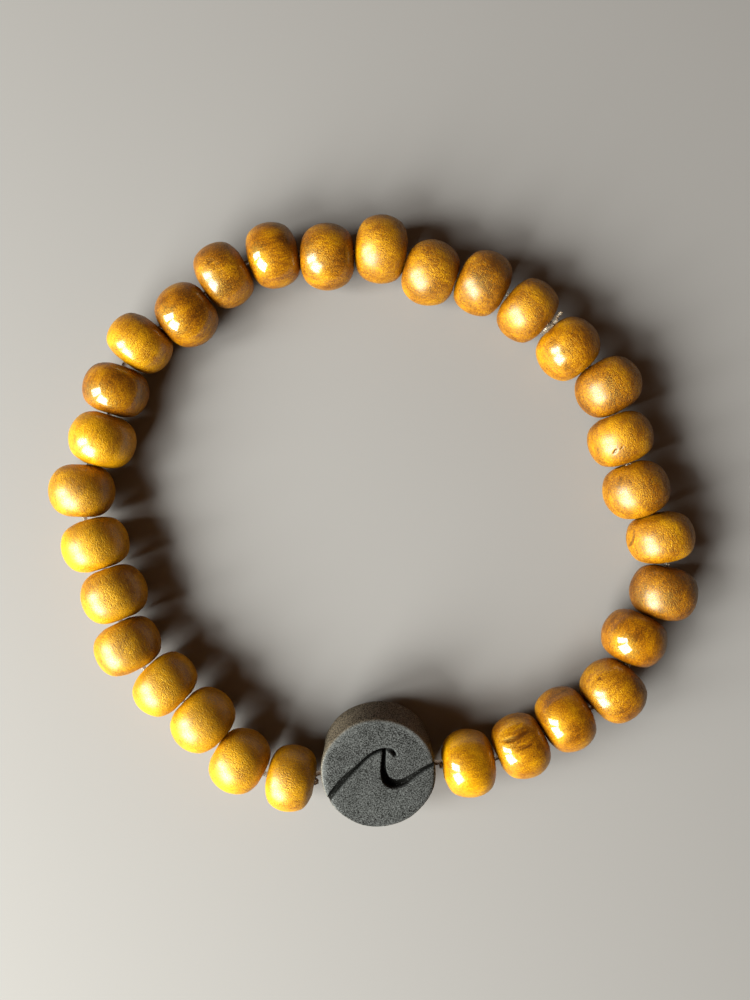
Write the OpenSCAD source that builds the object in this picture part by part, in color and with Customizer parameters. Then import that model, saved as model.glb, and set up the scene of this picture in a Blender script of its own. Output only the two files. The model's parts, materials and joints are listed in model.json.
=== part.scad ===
// A beaded bracelet that lies loosely on a table: thirty turned wooden beads and one carved disc
// bead on a closed loop of clear elastic. The origin is on the table in the middle of the ring,
// +X runs along the ring's long way, the disc lies at -Y and +Z is up.

/* [Wooden beads] */
// Usual diameter of a bead at its belly
bead_d = 8; // [7.8:0.1:8.4]
// Usual length of a bead along its bore
bead_l = 6.8; // [6.5:0.1:7]
// Diameter of the bore through a bead
bead_bore_d = 2.6; // [2.5:0.1:3]
// Radius of the domed ends, with which the beads lean on each other
dome_r = 7; // [6.5:0.5:8]
// How far the shoulder lies inside the corner that belly and domed end would make
shoulder_ease = 0.05; // [0.03:0.01:0.1]
// Width of the chamfer at the mouth of a bore
mouth_ease = 0.2; // [0.1:0.05:0.3]

/* [Carved disc] */
// Diameter of the disc
disc_d = 14; // [12:0.5:16]
// Thickness of the disc
disc_t = 6; // [5:0.5:7]
// Rounding of the disc's edges
disc_edge_r = 0.6; // [0.3:0.1:1]
// Diameter of the bore across the disc, at half its thickness
disc_bore_d = 2.4; // [2:0.1:2.6]
// How far the disc leans, its inner edge up, when the elastic holds its bore level with the beads'
disc_lean = 8; // [6:0.5:9]
// Depth of the carved wave line
wave_depth = 1; // [0.4:0.1:1]

/* [Elastic] */
// Diameter of the elastic where it is stretched through the beads
elastic_d = 0.6; // [0.4:0.1:0.7]
// Diameter of the two trimmed tails of the knot
tail_d = 0.5; // [0.3:0.1:0.5]
// Length of the longer tail, from the middle of the knot
tail_l = 2.6; // [2:0.1:3.4]

/* [Lie of the ring] */
// Room between two beads that lean on each other
bead_gap = 0.15; // [0.15:0.01:0.3]
// Room between the disc and the bead beside it
disc_gap = 0.9; // [0.6:0.1:1.2]
// Room between the two beads that the knot sits between
knot_gap = 0.5; // [0.5:0.05:0.8]
// Radius of the ring as a share of the even circle of the same length, which its bends take up
slack = 0.987; // [0.985:0.001:0.99]
// Direction in which the disc lies from the middle of the ring, in degrees
disc_at = -88.6; // [-95:0.1:-85]

/* [Hidden] */
// Columns of BEADS. Each bead was turned by hand and lies a little out of line with the next.
LONGER = 0;   // its length beyond bead_l, mm
WIDER = 1;    // its diameter beyond bead_d, mm
OUTWARD = 2;  // how far it lies outside the even ring, mm
COCKED = 3;   // how far its bore is turned out of the line of its neighbours, degrees
DARKER = 4;   // its stain, from 0, honey yellow, to 1, dark amber

// One row a bead, counterclockwise from the disc as seen from above
BEADS = [
    [-0.1,  0.1, -1.5,   0, 0.5],
    [-0.1, -0.1, -0.4,   0, 0.6],
    [-0.2,  0.0,  0.4,  -2, 0.6],
    [ 0.2,  0.1,  2.5,  -4, 0.7],
    [-0.2, -0.1,  1.5,   4, 0.4],
    [ 0.0,  0.1,  3.1,   3, 0.4],
    [-0.4,  0.1,  1.6,  -4, 0.2],
    [ 0.2,  0.0, -1.3,  -2, 0.3],
    [-0.3,  0.0, -1.9,   5, 0.2],
    [ 0.1,  0.1, -0.7,   0, 0.2],
    [ 0.1, -0.1, -2.0,  -4, 0.4],
    [-0.5,  0.0, -1.9,  -3, 0.4],
    [-0.3,  0.0, -1.8,  -5, 0.8],
    [ 0.1, -0.1, -2.7,   0, 0.1],
    [-0.1,  0.2, -0.6,   3, 0.2],
    [ 0.1,  0.0, -1.0,  -3, 0.4],
    [-0.3, -0.1,  1.0,   3, 0.7],
    [-0.4,  0.0,  1.5,  -4, 0.6],
    [ 0.2, -0.1,  0.4,  -3, 0.8],
    [-0.5, -0.1,  2.3,   6, 0.3],
    [-0.4, -0.1,  1.8,   4, 0.9],
    [ 0.0,  0.0,  1.1,   2, 0.3],
    [ 0.0, -0.2,  2.4,   2, 0.3],
    [-0.2,  0.1,  0.7,   0, 0.1],
    [ 0.1,  0.0, -0.5,   3, 0.3],
    [-0.2,  0.1,  0.4,  -3, 0.3],
    [-0.4,  0.1, -1.0,   0, 0.1],
    [ 0.1,  0.1, -1.3,   3, 0.2],
    [ 0.1, -0.1,  0.4,   4, 0.2],
    [-0.6, -0.1, -0.2, -10, 0.2],
];
DISC_OUTWARD = -3.65;
KNOT_AFTER = 11;

// The ring's members are numbered from the disc, 0, through the beads, 1 to len(BEADS).
DISC = 0;
MEMBERS = len(BEADS) + 1;

function next(i) = (i + 1) % MEMBERS;
function before(i) = (i + MEMBERS - 1) % MEMBERS;
function length_of(i) = i == DISC ? disc_d : bead_l + BEADS[i - 1][LONGER];
function radius_of(i) = (bead_d + BEADS[i - 1][WIDER]) / 2;
function bore_height(i) = i == DISC ? disc_height() : radius_of(i);
function outward(i) = i == DISC ? DISC_OUTWARD : BEADS[i - 1][OUTWARD];
function cocked(i) = i == DISC ? 0 : BEADS[i - 1][COCKED];
function beside_disc(i) = i == DISC || next(i) == DISC;
function gap_after(i) = beside_disc(i) ? disc_gap : i == KNOT_AFTER ? knot_gap : bead_gap;
function sum(list, i = 0) = i == len(list) ? 0 : list[i] + sum(list, i + 1);
function direction(angle) = [cos(angle), sin(angle)];
function angle_of(v) = atan2(v[1], v[0]);

// The leaning disc stands on its rounded outer edge. The edge's rounding is a circle about a point
// that lies in from the wall and the face, and turns with the disc.
function disc_height() =
    (disc_d / 2 - disc_edge_r) * sin(disc_lean) + (disc_t / 2 - disc_edge_r) * cos(disc_lean) + disc_edge_r;
function disc_half_width() =
    (disc_d / 2 - disc_edge_r) * cos(disc_lean) + (disc_t / 2 - disc_edge_r) * sin(disc_lean) + disc_edge_r;

// Where the members lie when each is a step from the next: two neighbours and the middle of the
// ring make a triangle, the law of cosines gives its angle at the middle, and what the angles lack
// or have beyond a full turn is shared out.
function reach(steps) = [for (i = [0:MEMBERS - 1]) sum(steps) / (2 * PI) * slack + outward(i)];
function angle_between(a, b, step) = acos((a * a + b * b - step * step) / (2 * a * b));
function turns(steps, reaches) =
    [for (i = [0:MEMBERS - 1]) angle_between(reaches[i], reaches[next(i)], steps[i])];
function running(list, scale, start, i = 0) =
    i == len(list) ? [] : concat([start], running(list, scale, start + list[i] * scale, i + 1));
function places(steps) =
    let (reaches = reach(steps),
         parts = turns(steps, reaches),
         angles = running(parts, 360 / sum(parts), disc_at))
    [for (i = [0:MEMBERS - 1]) reaches[i] * direction(angles[i])];
function headings(middles) =
    [for (i = [0:MEMBERS - 1]) angle_of(middles[next(i)] - middles[before(i)]) + cocked(i)];

// The step at which the ends of two turned beads are their gap apart. The domes are balls of
// dome_r, so their centres are twice dome_r and the gap from each other, or less where the domes
// would meet inside a mouth: there it is the mouths' rims that meet, a few degrees off that line.
function off_line(span, head) = acos(min(1, span * direction(head) / norm(span)));
function step_of_domes(line, back, apart) =
    sqrt(pow(line * back, 2) - back * back + apart * apart) - line * back;
function leaning_step(i, middles, heads) =
    let (span = middles[next(i)] - middles[i],
         back = (dome_r - length_of(i) / 2) * direction(heads[i])
              + (dome_r - length_of(next(i)) / 2) * direction(heads[next(i)]),
         lean = min(off_line(span + back, heads[i]), off_line(span + back, heads[next(i)])),
         rim = asin((bead_bore_d / 2 + mouth_ease) / dome_r))
    step_of_domes(span / norm(span), back, 2 * dome_r * cos(max(0, rim - lean)) + gap_after(i));
function straight_step(i) = (length_of(i) + length_of(next(i))) / 2 + gap_after(i);
function straight_steps() = [for (i = [0:MEMBERS - 1]) straight_step(i)];
function leaning_steps(middles, heads) =
    [for (i = [0:MEMBERS - 1]) beside_disc(i) ? straight_step(i) : leaning_step(i, middles, heads)];
function settled(steps, rounds) =
    rounds == 0 ? steps
    : let (middles = places(steps))
      settled(leaning_steps(middles, headings(middles)), rounds - 1);

// The ring is moved so that the middle of its extent along X and along Y is at the origin.
function half_width(i) = i == DISC ? disc_half_width() : radius_of(i);
function extent_middle(middles, k) =
    (max([for (i = [0:MEMBERS - 1]) middles[i][k] + half_width(i)])
     + min([for (i = [0:MEMBERS - 1]) middles[i][k] - half_width(i)])) / 2;
function centred(middles) =
    [for (middle = middles) middle - [extent_middle(middles, 0), extent_middle(middles, 1)]];

MIDDLES = centred(places(settled(straight_steps(), 2)));
HEADINGS = headings(MIDDLES);

// The elastic's route: through the middle of every bead, through the middle of every gap, and a
// little to the outside of the bore in the disc, which the two beads beside it pull it to.
THREAD_ASIDE = 0.6;
function middle_point(i) = [MIDDLES[i][0], MIDDLES[i][1], bore_height(i)];
function mouth(i, end) =
    let (way = direction(HEADINGS[i]),
         aside = i == DISC ? THREAD_ASIDE * [way[1], -way[0]] : [0, 0],
         at = MIDDLES[i] + end * length_of(i) / 2 * way + aside)
    [at[0], at[1], bore_height(i)];
function gap_point(i) = (mouth(i, 1) + mouth(next(i), -1)) / 2;
function route_of(i) =
    i == DISC ? [mouth(i, -1), mouth(i, 1), mouth(next(i), -1)]
    : next(i) == DISC ? [middle_point(i), mouth(i, 1)]
    : [middle_point(i), gap_point(i)];
ROUTE = [for (i = [0:MEMBERS - 1]) each route_of(i)];
ELASTIC_SIDES = 8;

// Columns of the strokes of the wave: a point of the face, along the bore and up from the middle,
// and the width of the cut there, mm
WAVE_RISE = [
    [-6.5, -3.2, 0.85],
    [-5.7, -1.9, 0.85],
    [-4.3, -0.4, 0.75],
    [-3.4,  0.4, 0.60],
    [-2.4,  1.2, 0.50],
    [-1.6,  1.9, 0.45],
    [-0.8,  2.5, 0.45],
    [ 0.0,  2.9, 0.45],
    [ 0.7,  3.1, 0.40],
    [ 1.4,  3.1, 0.40],
    [ 1.9,  2.9, 0.40],
    [ 2.1,  2.4, 0.35],
];
WAVE_FALL = [
    [1.0,  3.0, 0.45],
    [0.8,  1.7, 0.50],
    [0.7,  0.9, 0.60],
    [0.7,  0.1, 0.75],
    [0.9, -0.7, 0.95],
    [1.4, -1.2, 1.15],
    [2.1, -1.4, 1.15],
    [2.9, -1.3, 1.00],
    [3.5, -1.0, 0.85],
    [4.5, -0.4, 0.65],
    [5.4,  0.1, 0.60],
    [6.3,  0.5, 0.55],
    [7.4,  0.9, 0.50],
];
STROKE_PIECES = 4;

// A smooth curve through the rows of a table: between two rows the value is the Catmull-Rom blend
// of the four rows around, and past its ends the table runs on straight.
function row(rows, i) =
    i < 0 ? 2 * rows[0] - rows[1]
    : i >= len(rows) ? 2 * rows[len(rows) - 1] - rows[len(rows) - 2]
    : rows[i];
function blend(a, b, c, d, t) =
    (2 * b + (c - a) * t + (2 * a - 5 * b + 4 * c - d) * t * t + (3 * b - a - 3 * c + d) * t * t * t) / 2;
function smooth(rows, pieces) = concat(
    [for (i = [0:len(rows) - 2], k = [0:pieces - 1])
        blend(row(rows, i - 1), row(rows, i), row(rows, i + 1), row(rows, i + 2), k / pieces)],
    [rows[len(rows) - 1]]);
function flat(v) = [v[0], v[1]];
function across(points, i) =
    let (span = flat(row(points, i + 1)) - flat(row(points, i - 1)))
    [-span[1], span[0]] / norm(span);

STAIN_LIGHT = [0.93, 0.66, 0.12];
STAIN_DARK = [0.62, 0.34, 0.04];
ROUND = 96;

// A bead's section on one side of its bore. Five arcs bound it: the belly's, two for the shoulders
// and two for the domed ends. All are about points on the bore's axis, so each turns into part of
// a ball. A shoulder's point lies between the belly's and the dome's, and every arc crosses the
// next at a slight angle, so the section is simply where their circles overlap.
SHOULDER_BACK = 0.4;
module bead_section(belly_r, half_l, bore_r) {
    dome_back = dome_r - half_l;
    back = SHOULDER_BACK * dome_back;
    corner_h = (dome_r * dome_r - belly_r * belly_r - dome_back * dome_back) / (2 * dome_back);
    corner_r = sqrt(belly_r * belly_r - corner_h * corner_h);
    shoulder_r = norm([corner_r, corner_h + back]) - shoulder_ease;
    intersection() {
        translate([bore_r, -half_l]) square([belly_r, 2 * half_l]);
        circle(r = belly_r, $fn = ROUND);
        translate([0, -back]) circle(r = shoulder_r, $fn = ROUND);
        translate([0, back]) circle(r = shoulder_r, $fn = ROUND);
        translate([0, -dome_back]) circle(r = dome_r, $fn = ROUND);
        translate([0, dome_back]) circle(r = dome_r, $fn = ROUND);
    }
}

module bead(number) {
    half_l = length_of(number) / 2;
    bore_r = bead_bore_d / 2;
    mouth_h = half_l - dome_r + sqrt(dome_r * dome_r - bore_r * bore_r);
    stain = BEADS[number - 1][DARKER];
    color(STAIN_LIGHT * (1 - stain) + STAIN_DARK * stain)
    translate(middle_point(number)) rotate([0, 0, HEADINGS[number]]) rotate([0, 90, 0])
    rotate_extrude($fn = ROUND) difference() {
        bead_section(radius_of(number), half_l, bore_r);
        for (side = [0, 1]) mirror([0, side])
            polygon([[0, mouth_h - mouth_ease], [bore_r, mouth_h - mouth_ease],
                     [bore_r + 2 * mouth_ease, mouth_h + mouth_ease], [0, mouth_h + mouth_ease]]);
    }
}

// Half of the disc's section, with rounded edges
module disc_section() {
    core_r = disc_d / 2 - disc_edge_r;
    square([core_r, disc_t]);
    translate([0, disc_edge_r]) square([disc_d / 2, disc_t - 2 * disc_edge_r]);
    for (height = [disc_edge_r, disc_t - disc_edge_r]) translate([core_r, height]) intersection() {
        circle(r = disc_edge_r, $fn = ROUND);
        translate([0, height > disc_edge_r ? 0 : -disc_edge_r]) square(disc_edge_r);
    }
}

// One carved stroke seen from above, as wide along its line as its table says
module stroke(rows) {
    points = smooth(rows, STROKE_PIECES);
    last = len(points) - 1;
    polygon([
        for (i = [0:last]) flat(points[i]) + points[i][2] / 2 * across(points, i),
        for (i = [last:-1:0]) flat(points[i]) - points[i][2] / 2 * across(points, i),
    ]);
}

// The disc is drawn flat, its bore along X and half of it below the bore, and is then leant about
// the bore
module wave_disc() {
    color([0.37, 0.38, 0.37])
    translate(middle_point(DISC)) rotate([disc_lean, 0, HEADINGS[DISC]])
    difference() {
        translate([0, 0, -disc_t / 2]) rotate_extrude($fn = ROUND) disc_section();
        translate([0, 0, disc_t / 2 - wave_depth]) linear_extrude(2 * wave_depth) {
            stroke(WAVE_RISE);
            stroke(WAVE_FALL);
        }
        translate([-disc_d, 0, 0]) rotate([0, 90, 0]) cylinder(d = disc_bore_d, h = 2 * disc_d, $fn = ROUND);
    }
}

// The stretched loop of elastic: one closed tube with a ring of points at each point of the route
module elastic_thread() {
    count = len(ROUTE);
    function ring(i) =
        let (span = flat(ROUTE[(i + 1) % count] - ROUTE[(i + count - 1) % count]),
             side = [span[1], -span[0], 0] / norm(span))
        [for (k = [0:ELASTIC_SIDES - 1])
            let (turn = direction(360 * k / ELASTIC_SIDES) * elastic_d / 2)
            ROUTE[i] + turn[0] * side + turn[1] * [0, 0, 1]];
    function corner(i, k) = (i % count) * ELASTIC_SIDES + k % ELASTIC_SIDES;
    color([0.9, 0.9, 0.88, 0.6])
    polyhedron(
        points = [for (i = [0:count - 1]) each ring(i)],
        faces = [for (i = [0:count - 1], k = [0:ELASTIC_SIDES - 1])
            [corner(i, k), corner(i, k + 1), corner(i + 1, k + 1), corner(i + 1, k)]]);
}

// The knot: two wraps round the stretched elastic, and the two trimmed ends, which stand up and
// out between the beads
WRAP_OFFSET = 0.22;
WRAP_ROOM = 0.13;
TAIL_RISE = [58, 32];
TAIL_SHARE = [0.75, 1];
module elastic_knot() {
    wrap_r = elastic_d + WRAP_ROOM;
    color([0.88, 0.86, 0.84])
    translate(gap_point(KNOT_AFTER))
    rotate([0, 0, angle_of(MIDDLES[KNOT_AFTER + 1] - MIDDLES[KNOT_AFTER])]) {
        for (side = [-1, 1]) translate([side * WRAP_OFFSET, 0, 0]) rotate([0, 90, 0])
            rotate_extrude($fn = ROUND) translate([wrap_r, 0]) circle(d = elastic_d, $fn = ROUND);
        for (end = [0, 1]) rotate([90 - TAIL_RISE[end], 0, 0]) {
            tip = tail_l * TAIL_SHARE[end];
            translate([0, 0, wrap_r]) cylinder(d = tail_d, h = tip - wrap_r, $fn = ROUND);
            translate([0, 0, tip]) sphere(d = tail_d, $fn = ROUND);
        }
    }
}

function bead_name(number) = str("bead_", number < 10 ? "0" : "", number);

for (number = [1:len(BEADS)]) bead(number);
wave_disc();
elastic_thread();
elastic_knot();
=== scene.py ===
# %% [markdown]
# # A beaded bracelet
# Thirty small wooden beads and one flat clay disc hang on a loop of clear elastic. The bracelet lies
# slack on a table, so it makes an uneven ring. The solids of every bead, of the disc and of the elastic
# come ready made, in their right places. This lesson gives them their looks: each plain solid is
# hidden, and a finer surface that is worked out with numpy stands where it stood.

# %% The solids
import json
import math

import bpy
import numpy as np
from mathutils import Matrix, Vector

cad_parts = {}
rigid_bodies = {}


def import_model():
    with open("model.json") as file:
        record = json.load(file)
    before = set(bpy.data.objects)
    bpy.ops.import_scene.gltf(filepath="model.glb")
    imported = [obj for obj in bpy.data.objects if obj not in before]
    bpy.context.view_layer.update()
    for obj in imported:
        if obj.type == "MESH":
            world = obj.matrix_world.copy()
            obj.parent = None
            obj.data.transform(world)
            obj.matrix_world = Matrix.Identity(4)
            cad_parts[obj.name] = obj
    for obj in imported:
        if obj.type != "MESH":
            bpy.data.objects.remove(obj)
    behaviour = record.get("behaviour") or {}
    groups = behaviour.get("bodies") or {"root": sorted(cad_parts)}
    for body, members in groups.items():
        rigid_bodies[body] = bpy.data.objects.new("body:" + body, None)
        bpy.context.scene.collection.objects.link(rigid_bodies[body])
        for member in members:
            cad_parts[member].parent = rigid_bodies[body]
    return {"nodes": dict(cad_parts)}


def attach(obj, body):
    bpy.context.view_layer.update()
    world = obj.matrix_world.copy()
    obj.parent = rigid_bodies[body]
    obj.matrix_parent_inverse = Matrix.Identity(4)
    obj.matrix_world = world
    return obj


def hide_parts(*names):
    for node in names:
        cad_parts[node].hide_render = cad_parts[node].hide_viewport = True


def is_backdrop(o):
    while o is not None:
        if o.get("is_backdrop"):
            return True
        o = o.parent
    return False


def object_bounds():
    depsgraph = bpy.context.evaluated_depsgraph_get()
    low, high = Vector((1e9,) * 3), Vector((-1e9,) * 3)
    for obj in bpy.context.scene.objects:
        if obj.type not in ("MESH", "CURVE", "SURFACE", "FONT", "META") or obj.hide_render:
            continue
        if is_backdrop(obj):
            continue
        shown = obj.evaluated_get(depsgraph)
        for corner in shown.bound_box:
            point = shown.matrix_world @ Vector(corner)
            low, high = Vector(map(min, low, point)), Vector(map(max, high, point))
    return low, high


for leftover in list(bpy.data.objects):
    bpy.data.objects.remove(leftover)

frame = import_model()
solid_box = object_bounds()
MM = 0.001
BEADS = sorted(name for name in frame["nodes"] if name.startswith("bead_"))
print(len(frame["nodes"]), "solids, of which", len(BEADS), "are beads")

# %% [markdown]
# ## The camera
# The picture was taken from straight above with a phone, whose wide lens was only a hand's breadth
# from the table. That matters: away from the middle of the picture one looks at the pieces aslant, and
# sees the inner wall of the disc. So the camera keeps the real height of 94 mm and the real field of
# view, and is not moved back to a longer lens. The view transform is Standard, because Blender's
# default one turns a bright, saturated amber pale.

# %% Camera
CAMERA_AT = (0.17, 2.40, 94.25)
CAMERA_ROLL = 0.41
PHONE_LENS = 26.0
PHONE_SENSOR = 36.0

camera = bpy.data.objects.new("camera", bpy.data.cameras.new("camera"))
bpy.context.scene.collection.objects.link(camera)
camera.location = [value * MM for value in CAMERA_AT]
camera.rotation_euler = (0, 0, math.radians(CAMERA_ROLL))
camera.data.lens = PHONE_LENS
camera.data.sensor_width = PHONE_SENSOR
camera.data.clip_start = 5 * MM
bpy.context.scene.camera = camera
bpy.context.scene.view_settings.view_transform = "Standard"
print("camera at", tuple(camera.location), "looks straight down")

# %% [markdown]
# ## Two bright panes
# Each bead mirrors the light: two bright panes, side by side, at the lower left. A mirror image at the
# place (x, y) on a ball of radius r has the normal (x, y, sqrt(r² - x² - y²)) / r, and the lamp lies
# at twice that normal's tilt. So the highlights tell where the panes stood, and rays sent back from
# all thirty beads meet close by. Here the panes stand somewhat farther off than that, so that the
# table is lit evenly. Soft round lamps would be simpler, but only rectangles of light give highlights
# with straight edges.

# %% Panes
PANE_DISTANCE = 0.45
PANE_HEIGHT = 0.29
PANE_RADIANCE = 24.5
PANE_COLOUR = (0.96, 1.0, 0.86)


def bright_pane(name, azimuth, elevation, width):
    """An upright rectangle of light that faces the bracelet from a direction in degrees. Its power is
    its radiance times its area times pi, so both panes are equally bright."""
    pane = bpy.data.lights.new(name, "AREA")
    pane.shape = "RECTANGLE"
    pane.size, pane.size_y = width, PANE_HEIGHT
    pane.energy = PANE_RADIANCE * width * PANE_HEIGHT * math.pi
    pane.color = PANE_COLOUR
    made = bpy.data.objects.new(name, pane)
    turn, rise = math.radians(azimuth), math.radians(elevation)
    flat = PANE_DISTANCE * math.cos(rise)
    made.location = (flat * math.cos(turn), flat * math.sin(turn), PANE_DISTANCE * math.sin(rise))
    made.rotation_euler = (math.pi / 2 - rise, 0, turn + math.pi / 2)
    made.visible_camera = False
    bpy.context.scene.collection.objects.link(made)
    print(name, "gives", round(pane.energy, 2), "W")


bright_pane("narrow_pane", 190, 32, 0.150)
bright_pane("wide_pane", 227, 29, 0.260)

# %% [markdown]
# ## Nodes
# The light of a room and the look of a material are nets of small nodes. They could be built by hand
# in the Shader Editor, but code can repeat them and keeps their numbers in one place.

# %% Adding and filling nodes
def fill(node, inputs):
    """Sets inputs of a node to numbers, or links them to the outputs of other nodes."""
    for socket, value in inputs.items():
        if isinstance(value, bpy.types.NodeSocket):
            node.id_data.links.new(value, node.inputs[socket])
        else:
            node.inputs[socket].default_value = value


def add_node(tree, kind, inputs=None, **settings):
    """Adds a node, sets its settings and fills its inputs."""
    node = tree.nodes.new(kind)
    for key, value in settings.items():
        setattr(node, key, value)
    fill(node, inputs or {})
    return node


def new_material(name):
    """A material with nodes: its node tree and its Principled BSDF come with it."""
    material = bpy.data.materials.new(name)
    material.use_nodes = True
    return material, material.node_tree, material.node_tree.nodes["Principled BSDF"]


# %% [markdown]
# ## The room
# The shade of a bead is not black: the walls of the room light it a little, and they are warm. A world
# of one dim colour does the same as real walls would, with less to set up. Seen from the side, such a
# dim room would be a dark backdrop, so rays that come from the camera itself get a pale one instead.

# %% Dim warm room, pale backdrop
ROOM_COLOUR = (1.0, 0.54, 0.26, 1.0)
ROOM_STRENGTH = 0.10
BACKDROP_COLOUR = (0.34, 0.33, 0.32, 1.0)

room = bpy.data.worlds.new("dim warm room")
room.use_nodes = True
lit = room.node_tree.nodes["Background"]
fill(lit, {"Color": ROOM_COLOUR, "Strength": ROOM_STRENGTH})
seen = add_node(room.node_tree, "ShaderNodeBackground", {"Color": BACKDROP_COLOUR})
from_camera = add_node(room.node_tree, "ShaderNodeLightPath").outputs["Is Camera Ray"]
choice = {0: from_camera, 1: lit.outputs[0], 2: seen.outputs[0]}
lit_or_seen = add_node(room.node_tree, "ShaderNodeMixShader", choice).outputs[0]
fill(room.node_tree.nodes["World Output"], {"Surface": lit_or_seen})
bpy.context.scene.world = room
print("the", room.name, "has", len(room.node_tree.nodes), "nodes")

# %% [markdown]
# ## The floor
# The bracelet lies on pale, matt paper. One large plane is enough for that, because all it does is to
# take the shadows. It isn't part of the bracelet, so it is marked as the stage.

# %% Pale paper
FLOOR_SIZE = 4
PAPER_COLOUR = (0.234, 0.220, 0.238, 1)
PAPER_ROUGHNESS = 0.9

bpy.ops.mesh.primitive_plane_add(size=FLOOR_SIZE, location=(0, 0, 0))
floor = bpy.context.active_object
floor.name = "floor"
paper, _, paper_surface = new_material("pale paper")
fill(paper_surface, {"Base Color": PAPER_COLOUR, "Roughness": PAPER_ROUGHNESS})
floor.data.materials.append(paper)
floor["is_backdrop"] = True
print("the floor is", FLOOR_SIZE, "m across")

# %% [markdown]
# ## Surfaces from grids
# Nearly every new piece here is a closed surface with a hole through it: a bead, the disc and the loop
# of elastic are all bent tubes, topologically. So one grid that wraps round in both directions fits
# them all, and a function gives all its points at once, as arrays. Only the knot's tube has two ends,
# and a fan of triangles closes each.

# %% Faces between the points of a grid
def grid_quads(rows, columns, closed=True):
    """Corner numbers of the quads between the points of a grid, point (i, j) being i * columns + j.
    Columns always wrap round. Rows do too where the grid is closed."""
    i, j = np.meshgrid(np.arange(rows if closed else rows - 1), np.arange(columns), indexing="ij")
    below, beside = (i + 1) % rows, (j + 1) % columns
    corners = [i * columns + j, i * columns + beside, below * columns + beside, below * columns + j]
    return np.stack(corners, axis=-1).reshape(-1, 4)


def end_fans(rows, columns):
    """Triangles that close the two ends of an open grid with one point each, numbered after it."""
    j = np.arange(columns)
    first, last = np.full(columns, rows * columns), np.full(columns, rows * columns + 1)
    start = np.stack([first, (j + 1) % columns, j], axis=-1)
    stop = (rows - 1) * columns + np.stack([j, (j + 1) % columns], axis=-1)
    return np.concatenate([start, np.column_stack([stop, last])])


print("a grid of 3 by 4 points has", len(grid_quads(3, 4)), "quads if it is closed")

# %% [markdown]
# ## From arrays to a piece
# Points could be added to a mesh one by one, but foreach_set takes whole arrays and is far quicker. A
# closed surface has to face outwards. Worked out from its corners, its volume comes out negative if
# the faces look inwards, and then each face is turned round.

# %% A closed surface as a piece
def volume_inside(points, faces):
    """Volume that faces enclose: the sum of the tetrahedra from the origin to each fan triangle."""
    a = points[faces[:, 0]]
    total = 0.0
    for k in range(1, faces.shape[1] - 1):
        total += np.einsum("ij,ij->", a, np.cross(points[faces[:, k]], points[faces[:, k + 1]])) / 6
    return total


def make_piece(name, points, face_sets, material, replaced):
    """A smooth mesh object in metres from points in mm, facing outwards, that stands for a solid."""
    points = points.reshape(-1, 3)
    if sum(volume_inside(points, faces) for faces in face_sets) < 0:
        face_sets = [faces[:, ::-1] for faces in face_sets]
    corners = np.concatenate([faces.ravel() for faces in face_sets])
    sizes = np.concatenate([np.full(len(faces), faces.shape[1]) for faces in face_sets])
    starts = np.concatenate([[0], np.cumsum(sizes)[:-1]])
    mesh = bpy.data.meshes.new(name)
    mesh.vertices.add(len(points))
    mesh.vertices.foreach_set("co", (points * MM).astype(np.float32).ravel())
    mesh.loops.add(len(corners))
    mesh.loops.foreach_set("vertex_index", corners.astype(np.int32))
    mesh.polygons.add(len(sizes))
    mesh.polygons.foreach_set("loop_start", starts.astype(np.int32))
    mesh.update(calc_edges=True)
    mesh.shade_smooth()
    mesh.materials.append(material)
    made = bpy.data.objects.new(name, mesh)
    bpy.context.scene.collection.objects.link(made)
    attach(made, "root")
    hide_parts(replaced)
    return made


corner_faces = np.array([(0, 2, 1), (0, 1, 3), (0, 3, 2), (1, 2, 3)])
print("the corner of a unit cube holds", round(volume_inside(np.eye(4, 3, k=-1), corner_faces), 4))

# %% [markdown]
# ## Numbers that a material can read
# Some looks belong to a place on a piece: how deep the stain is, where a mark is, where the cut lies.
# They could be drawn as an image, but a number for each point of the mesh needs no image and no
# unfolding, and a material reads it by name.

# %% Numbers on points
def paint(piece, name, values):
    """Stores one number, or one vector, for each point of a piece, for its material to read."""
    values = np.asarray(values, np.float32)
    kind, field = ("FLOAT_VECTOR", "vector") if values.ndim == 2 else ("FLOAT", "value")
    piece.data.attributes.new(name, kind, "POINT").data.foreach_set(field, values.ravel())


# %% [markdown]
# ## Where each bead sits
# Each bead's solid already says where the bead is, so nothing is measured twice. The middle of its box
# is the bead's middle. Its bore runs level, along the direction in which its points, seen from above,
# reach least far: a bead is wider than it is long.

# %% Middle, bore direction and size of each bead
DOME_R = 7.0
BORE_R = 1.3
MOUTH_R = 1.5
UP = np.array([0.0, 0.0, 1.0])


def node_points(name):
    """The points of a solid as an array, in mm."""
    mesh = frame["nodes"][name].data
    flat = np.zeros(len(mesh.vertices) * 3, np.float32)
    mesh.vertices.foreach_get("co", flat)
    return flat.reshape(-1, 3).astype(float) / MM


def bead_place(name):
    """(middle, unit vector along the bore, radius, half length) of a bead. The bore is one of the two
    principal directions of the points in plan: the one along which they reach least far."""
    points = node_points(name)
    low, high = points.min(axis=0), points.max(axis=0)
    middle = (low + high) / 2
    plan = points[:, :2] - middle[:2]
    directions = np.linalg.eigh(plan.T @ plan)[1].T
    reaches = [np.ptp(plan @ direction) for direction in directions]
    shortest = int(np.argmin(reaches))
    along = np.append(directions[shortest], 0.0)
    onwards = np.cross(UP, middle)
    along *= np.sign(along @ onwards)
    dome_rise = DOME_R - math.sqrt(DOME_R**2 - MOUTH_R**2)
    return middle, along, (high[2] - low[2]) / 2, reaches[shortest] / 2 + dome_rise


PLACES = {name: bead_place(name) for name in BEADS}
for name in BEADS[:3]:
    middle, along, radius, half_length = PLACES[name]
    print(name, "is at", middle.round(2), "with its bore along", along.round(2))
    print("    it is", round(2 * radius, 2), "mm across and", round(2 * half_length, 2), "mm long")

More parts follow.
